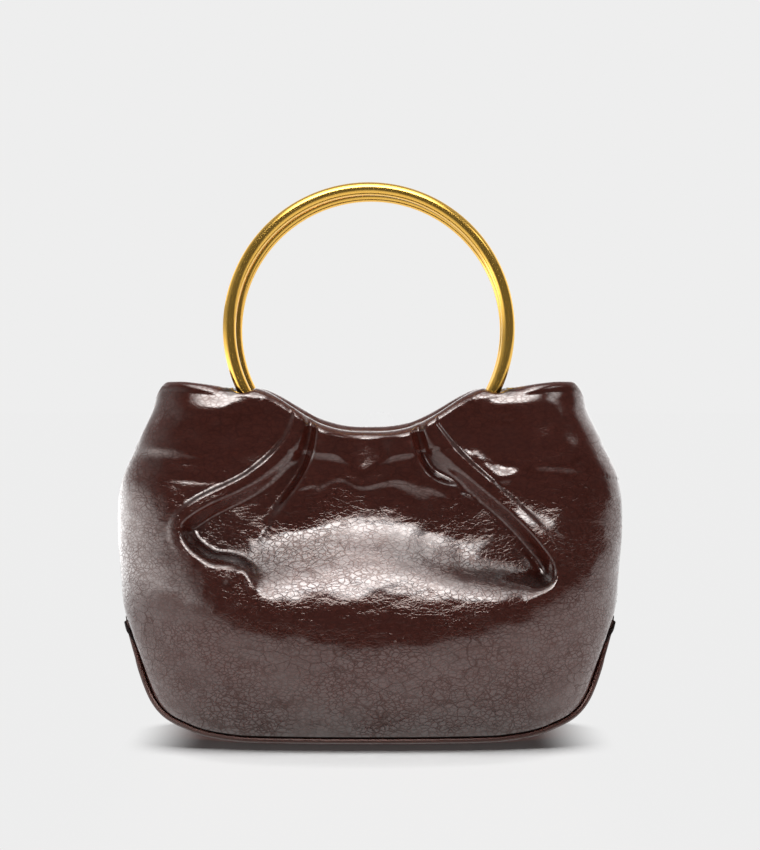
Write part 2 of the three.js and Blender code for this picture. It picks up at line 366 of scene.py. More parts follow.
# Crackled glaze shared by the panels, the base and the piping. The first numbers are sizes of the
# patterns, the ramps are from, to, lowest and highest, and the last are shares of each pattern.
crackle = {
    "turn": (0, 0.4, 0),
    "stretch": (0.72, 1, 1.18),
    "wander": 260.0,
    "warp": 0.0028,
    "cells": 560,
    "cellLine": 0.18,
    "creases": 190,
    "creaseLine": 0.07,
    "patches": 55.0,
    "creasePatches": 38.0,
    "grain": 1900,
    "dents": 180.0,
    "mottle": 620.0,
    "cellDepth": (0.3, 0.66, 0.3, 0.9),
    "creaseDepth": (0.4, 0.64, 0.1, 0.95),
    "wornBelow": (0.112, 0.088, 0.4, 1.0),
    "mottleSpan": (0.3, 0.7),
    "unevenGlaze": (0.36, 0.58, 0.72, 1.0),
    "relief": {"cells": -0.3, "creases": -0.2, "grain": 0.1, "dents": 3.0},
    "tone": {"patches": 0.5, "mottle": 0.36, "cells": -0.5, "creases": -0.5},
    "toneFrom": 0.1,
    "dull": 0.12,
    "glazeLost": 1.1,
}


def edgeLines(tree, place, scale, width):
    # 1 on the lines between the cells of a pattern, 0 away from them
    node = put(tree, "ShaderNodeTexVoronoi", feature="DISTANCE_TO_EDGE", Scale=scale)
    join(tree, place, node.inputs["Vector"])
    return sums(tree, "SUBTRACT", 1.0, ramp(tree, node.outputs["Distance"], 0.0, width))


def warped(tree, place):
    wander = noiseAt(tree, place, crackle["wander"], 2.0)
    centred = put(tree, "ShaderNodeVectorMath", operation="SUBTRACT")
    join(tree, wander.outputs["Color"], centred.inputs[0])
    centred.inputs[1].default_value = (0.5, 0.5, 0.5)
    scaled = put(tree, "ShaderNodeVectorMath", operation="SCALE")
    scaled.inputs["Scale"].default_value = crackle["warp"]
    join(tree, centred.outputs[0], scaled.inputs[0])
    moved = put(tree, "ShaderNodeVectorMath", operation="ADD")
    join(tree, place, moved.inputs[0])
    join(tree, scaled.outputs[0], moved.inputs[1])
    return moved.outputs[0]


def crackleGroup():
    group = bpy.data.node_groups.new("crackledGrain", "ShaderNodeTree")
    for way, name, kind in (
            ("INPUT", "Dark", "Color"), ("INPUT", "Light", "Color"),
            ("INPUT", "Glaze", "Float"), ("INPUT", "Gloss", "Float"),
            ("OUTPUT", "Color", "Color"), ("OUTPUT", "Coat Weight", "Float"),
            ("OUTPUT", "Roughness", "Float"), ("OUTPUT", "Height", "Float")):
        group.interface.new_socket(name, in_out=way, socket_type="NodeSocket" + kind)
    source = group.nodes.new("NodeGroupInput").outputs
    sink = group.nodes.new("NodeGroupOutput").inputs
    coords = placeIn(group)
    stretch = put(group, "ShaderNodeMapping", Rotation=crackle["turn"], Scale=crackle["stretch"])
    join(group, coords, stretch.inputs["Vector"])
    place = stretch.outputs["Vector"]
    moved = warped(group, place)
    patches = noiseAt(group, place, crackle["patches"], 3.0).outputs["Fac"]
    creasePatches = noiseAt(group, place, crackle["creasePatches"], 2.0).outputs["Fac"]
    grain = noiseAt(group, place, crackle["grain"], 2.0).outputs["Fac"]
    dents = noiseAt(group, moved, crackle["dents"], 3.0).outputs["Fac"]
    mottle = noiseAt(group, moved, crackle["mottle"], 3.0).outputs["Fac"]

    # fine crackle and longer creases, each deep in places and faded in others
    cells = edgeLines(group, moved, crackle["cells"], crackle["cellLine"])
    cells = sums(group, "MULTIPLY", cells, ramp(group, patches, *crackle["cellDepth"]))
    creases = edgeLines(group, moved, crackle["creases"], crackle["creaseLine"])
    creases = sums(group, "MULTIPLY", creases, ramp(group, creasePatches, *crackle["creaseDepth"]))
    lines = sums(group, "MAXIMUM", cells, creases)

    # the belly is worn more than the gathered top
    worn = ramp(group, axesOf(group, coords)[2], *crackle["wornBelow"])
    relief = crackle["relief"]
    height = weighted(group, (
        (cells, relief["cells"]), (creases, relief["creases"]),
        (grain, relief["grain"]), (dents, relief["dents"])))
    join(group, sums(group, "MULTIPLY", height, worn), sink["Height"])

    share = crackle["tone"]
    mottled = ramp(group, mottle, *crackle["mottleSpan"])
    tone = weighted(group, (
        (patches, share["patches"]), (mottled, share["mottle"]),
        (cells, share["cells"]), (creases, share["creases"])))
    tones = put(group, "ShaderNodeMix", data_type="RGBA")
    join(group, sums(group, "ADD", tone, crackle["toneFrom"], True), tones.inputs[0])
    join(group, source["Dark"], tones.inputs[6])
    join(group, source["Light"], tones.inputs[7])
    join(group, tones.outputs[2], sink["Color"])

    # the glaze is gone in the lines and uneven between them
    lost = sums(group, "MULTIPLY", lines, crackle["glazeLost"])
    kept = sums(group, "SUBTRACT", 1.0, lost, True)
    kept = sums(group, "MULTIPLY", kept, ramp(group, dents, *crackle["unevenGlaze"]))
    join(group, sums(group, "MULTIPLY", kept, source["Glaze"]), sink["Coat Weight"])
    dull = sums(group, "MULTIPLY", lines, crackle["dull"])
    join(group, sums(group, "ADD", dull, source["Gloss"]), sink["Roughness"])
    return group


grainGroup = crackleGroup()
leatherShader = {
    "IOR": 1.52,
    "Coat IOR": 1.6,
    "Coat Roughness": 0.09,
    "Specular Tint": (1.0, 0.88, 0.82, 1),
}


def leatherMaterial(name, dark, light, glaze, gloss, bumpDepth):
    material, tree, sockets = newMaterial(name, leatherShader)
    grain = put(tree, "ShaderNodeGroup", node_tree=grainGroup)
    grain.inputs["Dark"].default_value = (*dark, 1)
    grain.inputs["Light"].default_value = (*light, 1)
    grain.inputs["Glaze"].default_value = glaze
    grain.inputs["Gloss"].default_value = gloss
    bump = put(tree, "ShaderNodeBump", Strength=1.0, Distance=bumpDepth)
    join(tree, grain.outputs["Height"], bump.inputs["Height"])
    join(tree, grain.outputs["Color"], sockets["Base Color"])
    join(tree, grain.outputs["Coat Weight"], sockets["Coat Weight"])
    join(tree, grain.outputs["Roughness"], sockets["Roughness"])
    join(tree, bump.outputs["Normal"], sockets["Normal"])
    return material


# Plainer materials, each a noise between two tones
suede = {
    "dark": (0.03, 0.013, 0.010),
    "light": (0.06, 0.028, 0.021),
    "scale": 900.0,
    "detail": 4.0,
    "bump": 0.6,
    "bumpDepth": 0.0002,
}
gold = {
    "dark": (0.95, 0.54, 0.09),
    "light": (0.98, 0.6, 0.13),
    "scale": 90.0,
    "detail": 2.0,
    "rough": (0.16, 0.19),
}
# painted shade: near-black tones for the panel's rolled lower edge, standing for the shade in the groove
# at the base seam
seamShadeTones = {
    "dark": (0.006, 0.003, 0.003),
    "light": (0.016, 0.007, 0.006),
    "scale": 700.0,
    "detail": 3.0,
    "rough": (0.6, 0.8),
}
roughSpan = (0.3, 0.7)


def noisyMaterial(name, look, constants):
    material, tree, sockets = newMaterial(name, constants)
    speckle = noiseAt(tree, placeIn(tree), look["scale"], look["detail"]).outputs["Fac"]
    join(tree, mixTones(tree, speckle, look["dark"], look["light"]), sockets["Base Color"])
    if "rough" in look:
        join(tree, ramp(tree, speckle, *roughSpan, *look["rough"]), sockets["Roughness"])
    if "bump" in look:
        bump = put(tree, "ShaderNodeBump", Strength=look["bump"], Distance=look["bumpDepth"])
        join(tree, speckle, bump.inputs["Height"])
        join(tree, bump.outputs["Normal"], sockets["Normal"])
    return material


panelLeather = leatherMaterial(
    "brownLeather", dark=(0.069, 0.0142, 0.0092), light=(0.123, 0.0266, 0.0176),
    glaze=1.0, gloss=0.12, bumpDepth=0.00015)
pipingLeather = leatherMaterial(
    "pipingLeather", dark=(0.048, 0.0120, 0.0084), light=(0.096, 0.0240, 0.0162),
    glaze=0.0, gloss=0.4, bumpDepth=0.00006)
suedeInside = noisyMaterial("suedeInside", suede, {"Roughness": 0.9, "Specular IOR Level": 0.15})
paintedSeamShade = noisyMaterial("paintedSeamShade", seamShadeTones, {"Specular IOR Level": 0.1})
goldMetal = noisyMaterial("polishedGold", gold, {"Metallic": 0.8})
print("materials made")

# Base seam, half of it from the middle to the pointed end at the side
baseSeam = {
    "points": [(0, -34.5, 1.45), (28, -33.6, 1.45), (52, -30.2, 1.5), (73, -21.5, 4.4), (89.5, -9.5, 14),
               (101.2, -2.2, 46), (102.3, -1.0, 53)],
    "cord": 1.1,
    "gap": 0.35,
    "tangentStep": 0.001,
}
seamRow = [(-x, y, z) for x, y, z in baseSeam["points"][:0:-1]] + baseSeam["points"]
seamMiddle = len(baseSeam["points"]) - 1
seamFloor = baseSeam["points"][0][2]


def seamPoint(share):
    # share is 1 at the foot of the side seam
    point = through(seamRow, np.asarray(share) * (seamMiddle - 1) + seamMiddle)
    point[..., 2] = np.maximum(point[..., 2], seamFloor)
    return point


def seamTangent(share):
    step = baseSeam["tangentStep"]
    return unit(seamPoint(share + step) - seamPoint(share - step))


# Panel: hem, cross-sections and pleats. A name with From and Over is where a change starts and its length.
hem = {
    "lip": 4, "neckZ": 125, "backRise": 1.6, "shoulderZ": 143, "neckHalfWidth": 48, "dipPower": 1.45,
    "cornerRise": 2.6, "riseFrom": 54, "riseOver": 26,
    "cornerDrop": 4, "dropFrom": 84, "dropOver": 5.5,
    "neckThickness": 8, "exitThickness": 11.6, "shoulderThickness": 4.8,
    "exitFrom": 34, "exitOver": 10, "shoulderFrom": 59, "shoulderOver": 8,
    "casingRadius": 66, "shoulderHem": 31, "exitInner": 46.2, "exitOuter": 57.2,
    "steepest": 0.3, "closedGap": 2.4, "openOver": 0.5, "closeFrom": 0.7, "closePower": 1.5,
}
ringHandle = {
    "diameter": 120, "wire": 5.4, "x": -0.4, "y": -13, "z": 167.4, "clearance": 0.9,
}
panel = {
    "leather": 1.6, "seamGap": 0.1, "sidePower": 2.2,
    "neckColumns": 14, "exitColumns": 2, "shoulderColumns": 5, "neckPower": 1.3,
    "finePerColumn": 7,
    "lipRows": 14, "casingRows": 14, "edgeRows": 3,
    "stillRows": 14, "stillColumns": 3, "stillHem": 8,
    "edgeIn": 1.5, "edgeDown": 1.2,
}
seamPlane = -panel["seamGap"] / 2
panelFootFit = {
    "sideLean": 1.5, "rise": 1.2, "middleAway": (0.0, -0.85, 0.95),
    "closeFrom": 0.9, "gaps": (3.6, 1.4),
}
ringOpening = {
    "middleTurn": 0.5, "halfTurn": 0.33, "halfColumns": 6, "blend": 1.3,
}
sectionNames = ("midZ", "sideZ", "wide", "deep", "flat", "pinch", "fan", "rows")
sections = [dict(zip(sectionNames, row)) for row in (
    (14, 49.5, 102.2, 36.7, 2.5, 2, 1, 8),
    (40, 69, 104.2, 42.8, 2.5, 2, 1, 14),
    (66, 85, 105.3, 37.6, 2.9, 2, 1, 22),
    (88, 103, 104, 25.4, 8, 2, 0.9, 30),
    (103, 120, 96.6, 22.2, 10, 1.9, 0.6, 24),
    (114, 133, 90.4, 20, 9, 1.8, 0.25, 18),
    (126.2, 143, 89.3, 19.4, 7, 1.8, 0, 18),
)]
hemSection = sections[-1]
columnsPerSide = panel["neckColumns"] + panel["exitColumns"] + panel["shoulderColumns"]

# The two large rolled pleats of the front, each along a line of (x, z) from the hem. The leather steps
# up on the outer side, runs level over a band and falls to the gathered part between the pleats.
rollNames = ("line", "up", "step", "band", "fall")
frontRolls = [dict(zip(rollNames, row)) for row in (
    (((-29.8, 132), (-35.5, 120.2), (-49.3, 107.6), (-70, 97), (-80, 88), (-77, 77), (-66, 69),
      (-54, 66.5), (-46, 57)),
     (1.5, 1.6, 1.6, 1.4, 0.6, 0.1, 0, 0, 0), 2.1, 3.2, 6),
    (((23.6, 132), (35.5, 117), (48.3, 105.2), (60.9, 94.3), (72.5, 82), (79, 71), (77.5, 61.5),
      (69, 54.5)),
     (1.3, 1.4, 1.3, 0.8, 0.4, 0.1, 0, 0), 2.0, 3.4, 6),
)]
gather = {
    "middle": -6, "drop": 0.0058, "most": 26, "lowFrom": 56, "lowTo": 76, "highFrom": 98, "highTo": 116,
    "halfWidth": 104, "sidePower": 3,
}

# Smaller folds and creases, each along a line with a height at each of its points. The leather falls
# away over outer and inner widths, dips into a groove on the outer side and leans over it.
foldNames = ("line", "up", "outer", "inner", "groove", "lean")
frontFolds = [dict(zip(foldNames, row)) for row in (
    (((-19.6, 127), (-21.5, 116), (-26.5, 104.8), (-38.3, 89.4)),
     (3.2, 3.6, 3.0, 0.6), 2.4, 9, 1.6, 1.0),
    (((14.4, 127), (17.5, 115), (24, 105.5), (35, 101)), (3.2, 3.6, 3.0, 0.6), 2.4, 9, 1.6, 1.0),
    (((-56, 66), (-50, 69.5), (-47, 63)), (0.6, 1.2, 0.6), 1.8, 1.8, 0, 0),
    (((-96, 118), (-86, 118.5), (-74, 117), (-62, 114)), (0.3, 1.0, 1.0, 0.2), 18, 2.6, 0, 0),
    (((-84, 106.4), (-72, 105.4), (-60, 104.4)), (-0.1, -0.35, -0.25), 1.8, 1.4, 0, 0),
    (((43, 114.5), (50, 108.5), (59, 105)), (0.3, 0.65, 0.2), 2.4, 2.8, 0.4, 0),
    (((49, 104), (57, 107.5), (65, 109.5)), (0.3, 0.7, 0.2), 2.2, 2.4, 0, 0),
    (((58, 112.5), (70, 112), (82, 111), (93, 108)), (0.2, 1.0, 1.0, 0.4), 18, 2.6, 0, 0),
    (((-89, 127), (-77, 131.5), (-64, 131)), (0.4, 0.9, 0.3), 6, 8, 0, 0),
    (((64, 131), (78, 131.5), (89, 127)), (0.3, 1.0, 0.4), 6, 8, 0, 0),
    (((60, 92), (74, 84), (86, 68)), (0.1, 0.35, 0.1), 1.8, 3, 0, 0),
    (((-2, 124), (-2.4, 119), (-2.6, 115)), (-0.3, -0.25, -0.05), 3.4, 3.4, 0, 0),
    (((-21, 116.5), (-14, 116), (-8, 113), (-2.8, 110), (3, 112.6), (9, 115.4), (16, 116.5)),
     (1.0, 1.2, 1.1, 0.7, 1.1, 1.2, 1.0), 10, 2.5, 0, 0),
    (((-21, 103.5), (-12, 106.8), (-3, 103.6), (10, 105.6), (22, 101.5)),
     (0.5, 1.1, 1.0, 1.1, 0.5), 10, 2.0, 0, 0),
    (((-78, 138), (-62, 134), (-48, 137)), (0.4, 1.8, 1.0), 5, 6, 0, 0),
    (((46, 137), (54, 135), (82, 139)), (0.9, 1.5, 0.5), 4.4, 6, 0, 0),
)]
foldShape = {
    "linePieces": 12, "grooveAt": 1.9, "leanOver": 1.6, "backSoftness": 0.85,
}

# Uneven waves of the leather: size, place in the noise and height of each
waves = ((24, 1, 0.5), (9, 2, 0.18), (4.6, 4, 0.06))
slantedWave = {
    "slant": 0.3, "long": 34, "short": 9, "deep": 0.02, "noisePlace": 3, "height": 0.2,
}
waveDepth = 0.6
backNoise = (31.7, 4.1, 9.3)


def mirrored(folds):
    # the back is the front turned round, with softer folds
    return [dict(fold, line=[(-x, z) for x, z in fold["line"]],
                 up=[foldShape["backSoftness"] * height for height in fold["up"]]) for fold in folds]


def neckDip(x):
    return smooth(np.minimum(1, np.abs(x) / hem["neckHalfWidth"]) ** hem["dipPower"])


def hemHeight(x, neckRise):
    across = np.abs(x)
    rise = hem["cornerRise"] * smooth((across - hem["riseFrom"]) / hem["riseOver"])
    drop = hem["cornerDrop"] * smooth((across - hem["dropFrom"]) / hem["dropOver"]) ** 2
    return between(hem["neckZ"] + neckRise, hem["shoulderZ"], neckDip(x)) + rise - drop


def hemReach(column):
    steps = np.abs(column)
    neck = panel["neckColumns"]
    leave = neck + panel["exitColumns"]
    rest = np.clip((steps - leave) / panel["shoulderColumns"], 0, 1)
    onNeck = hem["exitInner"] * np.minimum(1, steps / neck) ** panel["neckPower"]
    onExit = between(hem["exitInner"], hem["exitOuter"], (steps - neck) / panel["exitColumns"])
    onShoulder = between(hem["exitOuter"], hemSection["wide"], np.sin(rest * np.pi / 2))
    return np.where(steps <= neck, onNeck, np.where(steps <= leave, onExit, onShoulder))


def sectionHeight(section, x, reach):
    fanned = between(neckDip(x), reach ** panel["sidePower"], section["fan"])
    return between(section["midZ"], section["sideZ"], fanned)


def sectionLine(section, column, neckRise):
    spread = np.sin(np.abs(column) / columnsPerSide * np.pi / 2)
    reach = np.minimum(1, between(hemReach(column) / hemSection["wide"], spread, section["fan"]))
    x = section["wide"] * reach * np.sign(column)
    y = -section["deep"] * np.maximum(0, 1 - reach ** section["flat"]) ** (1 / section["pinch"])
    z = sectionHeight(section, x, reach)
    if section is hemSection:
        z = hemHeight(x, neckRise) - hem["lip"]
    return np.stack([x, y + seamPlane, z], -1)


def wallDepth(x, z):
    # the wall's outer face without folds, at places seen from the front
    levelY = []
    levelZ = []
    for section in sections:
        reach = np.minimum(1, np.abs(x) / section["wide"])
        levelY.append(-section["deep"] * (1 - reach ** section["flat"]) ** (1 / section["pinch"]))
        levelZ.append(sectionHeight(section, x, reach))
    levelY, levelZ = np.array(levelY), np.array(levelZ)
    return np.array([np.interp(z[i], levelZ[:, i], levelY[:, i]) for i in range(len(x))])


def panelFoot(share):
    tangent = seamTangent(share)
    towardsEnd = np.abs(share)[:, None] ** 2
    lean = -panelFootFit["sideLean"] * share
    rise = panelFootFit["rise"] * (1 - share ** 2)
    away = unit(np.stack([lean, -np.ones_like(share), rise], -1))
    away = between(away, np.array(panelFootFit["middleAway"]), 1 - towardsEnd)
    away = unit(away - tangent * (away * tangent).sum(-1, keepdims=True))
    closeFrom = panelFootFit["closeFrom"]
    closing = smooth((np.abs(share) - closeFrom) / (1 - closeFrom))[:, None]
    gap = between(*panelFootFit["gaps"], closing) * baseSeam["gap"]
    return seamPoint(share) + away * (baseSeam["cord"] + gap)


def loft(levels, rowsBetween):
    # a centripetal curve up each column through the levels
    first = 2 * levels[0] - levels[1]
    last = 2 * levels[-1] - levels[-2]
    chain = [first, *levels, last]
    rows = [levels[0]]
    for i, count in enumerate(rowsBetween):
        before, start, end, after = chain[i:i + 4]
        gaps = [np.maximum(1e-4, np.linalg.norm(b - a, axis=-1, keepdims=True)) ** 0.5
                for a, b in ((before, start), (start, end), (end, after))]
        ahead = (end - start) / gaps[1]
        leave = (start - before) / gaps[0] - (end - before) / (gaps[0] + gaps[1]) + ahead
        arrive = ahead - (after - start) / (gaps[1] + gaps[2]) + (after - end) / gaps[2]
        leave, arrive = leave * gaps[1], arrive * gaps[1]
        square = -3 * start + 3 * end - 2 * leave - arrive
        cube = 2 * start - 2 * end + leave + arrive
        for row in range(1, count + 1):
            t = row / count
            rows.append(start + leave * t + square * t ** 2 + cube * t ** 3)
    return np.stack(rows)


def gridNormals(grid):
    along = np.gradient(grid, axis=1)
    upward = np.gradient(grid, axis=0)
    normal = np.cross(along, upward)
    return normal / np.maximum(1e-9, np.linalg.norm(normal, axis=-1, keepdims=True))


def alongLine(line, x, z):
    # how far each place is from the line, on which side, where along it, and the way out from it
    count = len(line)
    fine = through(line, np.linspace(0, count - 1, foldShape["linePieces"] * count))
    start, step = fine[:-1], np.diff(fine, axis=0)
    offset = np.stack([x, z], -1)[..., None, :] - start
    share = np.clip((offset * step).sum(-1) / (step ** 2).sum(-1), 0, 1)
    away = offset - share[..., None] * step
    distance = np.linalg.norm(away, axis=-1)
    best = distance.argmin(-1)[..., None]
    near = np.take_along_axis(distance, best, -1)[..., 0]
    place = (best + np.take_along_axis(share, best, -1))[..., 0] / len(step) * (count - 1)
    outward = np.sign(fine[-1, 0] - fine[0, 0])
    cross = outward * (step[:, 0] * away[..., 1] - step[:, 1] * away[..., 0])
    outer = np.take_along_axis(cross, best, -1)[..., 0] > 0
    square = outward * unit(np.stack([-step[:, 1], step[:, 0]], -1))
    return near, outer, place, square[best[..., 0]]


def rollLift(rolls, x, z):
    # the lift of the rolled pleats, and how far each place lies in the gathered part between them
    lift = np.zeros_like(x)
    inside = np.ones_like(x)
    for roll in rolls:
        near, outer, place, _ = alongLine(roll["line"], x, z)
        up = np.interp(place, np.arange(len(roll["line"])), roll["up"])
        fall = smooth((near - roll["band"]) / roll["fall"])
        lift += up * np.where(outer, smooth(1 - near / roll["step"]), 1 - fall)
        inside *= np.where(outer, 0, fall)
    return lift, inside


def gatherRecess(wall, inside, side):
    # the belly's top drops away from the middle, so the leather between the pleats lies further in
    x, y, z = wall[..., 0] * side, wall[..., 1], wall[..., 2]
    middle = wall[:, wall.shape[1] // 2]
    low = smooth((z - gather["lowFrom"]) / (gather["lowTo"] - gather["lowFrom"]))
    high = smooth((gather["highTo"] - z) / (gather["highTo"] - gather["highFrom"]))
    drop = gather["drop"] * (x - gather["middle"]) ** 2 * low * high
    aim = np.interp(z + drop, middle[:, 2], middle[:, 1])
    narrowed = 1 - (np.abs(x) / gather["halfWidth"]) ** gather["sidePower"]
    recess = np.maximum(0, aim * np.sqrt(np.maximum(0, narrowed)) - y)
    return inside * gather["most"] * (1 - np.exp(-recess / gather["most"]))


def foldMove(folds, x, z):
    lift = np.zeros_like(x)
    slide = np.zeros(x.shape + (2,))
    for fold in folds:
        near, outer, place, square = alongLine(fold["line"], x, z)
        height = np.interp(place, np.arange(len(fold["line"])), fold["up"])
        wall = np.where(outer, fold["outer"], fold["inner"])
        lift += height * np.exp(-(near / wall) ** 2)
        share = height / np.abs(fold["up"]).max()
        groove = np.exp(-((near - foldShape["grooveAt"] * fold["outer"]) / fold["outer"]) ** 2) * outer
        lift -= fold["groove"] * groove * share
        lean = fold["lean"] * np.exp(-(near / (foldShape["leanOver"] * fold["outer"])) ** 2) * share
        slide += square * lean[..., None]
    return lift, slide


def rippleAt(x, y, z, seed):
    place = Vector((x, waveDepth * y, z))
    height = 0
    for size, noisePlace, share in waves:
        height += share * noise.noise(place / size + seed * noisePlace)
    slant = slantedWave["slant"]
    along = (x - slant * z) / slantedWave["long"]
    slanted = Vector((along, slantedWave["deep"] * y, (z + slant * x) / slantedWave["short"]))
    return height + slantedWave["height"] * noise.noise(slanted + seed * slantedWave["noisePlace"])


def ripples(grid, turned):
    seed = Vector(backNoise) if turned else Vector((0, 0, 0))
    return np.array([[rippleAt(x, y, z, seed) for x, y, z in row] for row in grid])


def squarePatchToRound(a, b):
    # moves the mesh lines round a square opening onto a circle
    most = np.maximum(np.abs(a), np.abs(b))
    safe = np.maximum(most, 1e-6)
    edgeA, edgeB = a / safe, b / safe
    roundA = edgeA * np.sqrt(1 - edgeB ** 2 / 2)
    roundB = edgeB * np.sqrt(1 - edgeA ** 2 / 2)
    back = smooth((most - 1) / ringOpening["blend"])
    return most * between(roundA, edgeA, back), most * between(roundB, edgeB, back)


def wallRows(rolls, folds, turned, column, foot):
    # the panel from its foot to the hem, plain and folded
    neckRise = hem["backRise"] if turned else 0
    levels = [foot] + [sectionLine(section, column, neckRise) for section in sections]
    wall = loft(levels, [section["rows"] for section in sections])
    wall[..., 1] = np.minimum(wall[..., 1], seamPlane)
    normals = gridNormals(wall)
    lift, slide = foldMove(folds, wall[..., 0], wall[..., 2])
    rolled, inside = rollLift(rolls, wall[..., 0], wall[..., 2])
    lift += rolled
    recess = gatherRecess(wall, inside, -1 if turned else 1)
    fromFoot = smooth(np.arange(len(wall)) / panel["stillRows"])[:, None]
    fromSide = smooth((columnsPerSide - np.abs(column)) / panel["stillColumns"])[None, :]
    belowHem = smooth((hemHeight(wall[..., 0], neckRise) - wall[..., 2]) / panel["stillHem"])
    lift += ripples(wall, turned) * fromFoot * fromSide
    folded = wall + normals * lift[..., None]
    folded[..., 1] += recess
    folded[..., 0] += slide[..., 0] * fromSide
    folded[..., 2] += slide[..., 1] * fromSide * belowHem
    folded[..., 1] = np.minimum(folded[..., 1], seamPlane)
    return wall, folded, normals


def edgeRows(column, foot, normals):
    # the lower edge rolled in to the seam
    rows = []
    toSeam = unit(seamPoint(column / columnsPerSide) - foot)
    for step in range(panel["edgeRows"], 0, -1):
        turn = step / panel["edgeRows"] * np.pi / 2
        inward = -normals[0] * panel["edgeIn"] * (1 - np.cos(turn))
        row = foot + inward + toSeam * panel["edgeDown"] * np.sin(turn)
        row[:, 1] = np.minimum(row[:, 1], seamPlane)
        rows.append(row)
    return np.stack(rows)


def hemRow(column, place, shares, plain, top, inward):
    # one row of the lip (shares up to 1) or of the casing inside it (1 to 2)
    def at(values):
        return np.stack([np.interp(place, column, values[:, i]) for i in range(3)], -1)
    plainTop, foldedTop, inside = at(plain), at(top), unit(at(inward))
    across = np.abs(plainTop[:, 0])
    atExit = smooth((across - hem["exitFrom"]) / hem["exitOver"])
    onShoulder = smooth((across - hem["shoulderFrom"]) / hem["shoulderOver"])
    overRing = between(hem["neckThickness"], hem["exitThickness"], atExit)
    lipThickness = between(overRing, hem["shoulderThickness"], onShoulder)
    lipInside = plainTop + inside * lipThickness[:, None]
    middle = (foldedTop + lipInside) / 2
    turn = np.minimum(shares, 1) * np.pi
    lip = middle + (foldedTop - middle) * np.cos(turn)[:, None]
    lip[:, 2] += hem["lip"] * np.sin(turn)

    # the casing goes behind the ring and closes on the wall under it
    behindRing = np.abs(plainTop[:, 1] - ringHandle["y"]) + ringHandle["wire"] / 2
    behindRing = behindRing + ringHandle["clearance"] + panel["leather"]
    behindRing = behindRing / np.maximum(hem["steepest"], np.abs(inside[:, 1]))
    casingThickness = between(behindRing, hem["shoulderThickness"], onShoulder)
    underRing = np.sqrt(np.maximum(hem["casingRadius"] ** 2 - across ** 2, hem["shoulderHem"] ** 2))
    bottom = ringHandle["z"] - underRing
    wallThere = between(wallDepth(plainTop[:, 0], bottom) - plainTop[:, 1], 0, onShoulder)
    closedAt = panel["leather"] + hem["closedGap"] + wallThere
    down = np.clip(shares - 1, 0, 1)
    opened = between(lipThickness, casingThickness, smooth(down / hem["openOver"]))
    closing = smooth((down - hem["closeFrom"]) / (1 - hem["closeFrom"])) ** hem["closePower"]
    closing = closing * (1 - onShoulder)
    casing = plainTop + inside * between(opened, closedAt, closing)[:, None]
    casing[:, 2] = between(plainTop[:, 2], bottom, down)
    row = np.where((shares <= 1)[:, None], lip, casing)
    row[:, 1] = np.minimum(row[:, 1], seamPlane + plainTop[:, 1] / 4)
    return row


def panelGrid(rolls, folds, turned):
    # the panel's rows from the seam to the inner end of the casing, and the cells left open for the ring
    fine = panel["finePerColumn"]
    count = columnsPerSide * fine
    column = np.arange(-count, count + 1) / fine
    foot = panelFoot(column / columnsPerSide)
    wall, folded, normals = wallRows(rolls, folds, turned, column, foot)
    edge = edgeRows(column, foot, normals)
    inward = unit(-normals[-1] * np.array([1, 1, 0]))
    lipSteps = np.arange(1, panel["lipRows"] + 1) / panel["lipRows"]
    casingSteps = np.arange(1, panel["casingRows"] + 1) / panel["casingRows"]
    middleTurn = ringOpening["middleTurn"]
    halfTurn = round(ringOpening["halfTurn"] * panel["lipRows"]) / panel["lipRows"]
    openColumn = panel["neckColumns"] + panel["exitColumns"] / 2
    halfColumn = ringOpening["halfColumns"] / fine
    a = (np.abs(column) - openColumn) / halfColumn
    rows = []
    for share in np.concatenate([lipSteps, 1 + casingSteps]):
        shares = np.full(len(column), share)
        b = (shares - middleTurn) / halfTurn
        newA, newB = squarePatchToRound(a, b)
        movedColumn = np.sign(column) * (newA * halfColumn + openColumn)
        near = np.maximum(np.abs(a), np.abs(b)) < 1 + ringOpening["blend"]
        place = np.where(near, movedColumn, column)
        shares = np.where(near, newB * halfTurn + middleTurn, shares)
        rows.append(hemRow(column, place, shares, wall[-1], folded[-1], inward))
    grid = np.concatenate([edge, folded, np.stack(rows)])
    lipStart = len(edge) + len(folded) - 1
    lowRow = lipStart + round((middleTurn - halfTurn) * panel["lipRows"])
    highRow = lipStart + round((middleTurn + halfTurn) * panel["lipRows"])
    opening = np.zeros((grid.shape[0] - 1, grid.shape[1] - 1), bool)
    middles = np.abs((column[1:] + column[:-1]) / 2)
    opening[lowRow:highRow] = np.abs(middles - openColumn) < halfColumn
    return grid, opening


def shapeGrid(name, grid, leaveOut=None):
    # a flat grid primitive, each of its corners moved to its place on the leather
    pickNothing()
    rows, wide = grid.shape[:2]
    bpy.ops.mesh.primitive_grid_add(
        x_subdivisions=wide - 1, y_subdivisions=rows - 1, size=2, location=(0, 0, 0))
    piece = bpy.context.object
    piece.name = name
    piece.data.name = name
    piece.data.vertices.foreach_set("co", (grid * metre).reshape(-1))
    piece.data.update()
    if leaveOut is not None:
        bpy.ops.object.mode_set(mode="EDIT")
        bpy.ops.mesh.select_mode(type="FACE")
        bpy.ops.mesh.select_all(action="DESELECT")
        bpy.ops.object.mode_set(mode="OBJECT")
        piece.data.polygons.foreach_set("select", leaveOut.reshape(-1))
        bpy.ops.object.mode_set(mode="EDIT")
        bpy.ops.mesh.delete(type="FACE")
        bpy.ops.object.mode_set(mode="OBJECT")
    return piece


def thicken(piece, thickness, inside):
    wall = piece.modifiers.new("wall", "SOLIDIFY")
    wall.thickness = thickness * metre
    wall.offset = -1
    wall.material_offset = inside
    bpy.context.view_layer.objects.active = piece
    bpy.ops.object.modifier_apply(modifier="wall")
    bpy.ops.object.shade_smooth()


# Turned half round about the upright, for the pieces at the back
halfRound = np.array([-1, -1, 1])


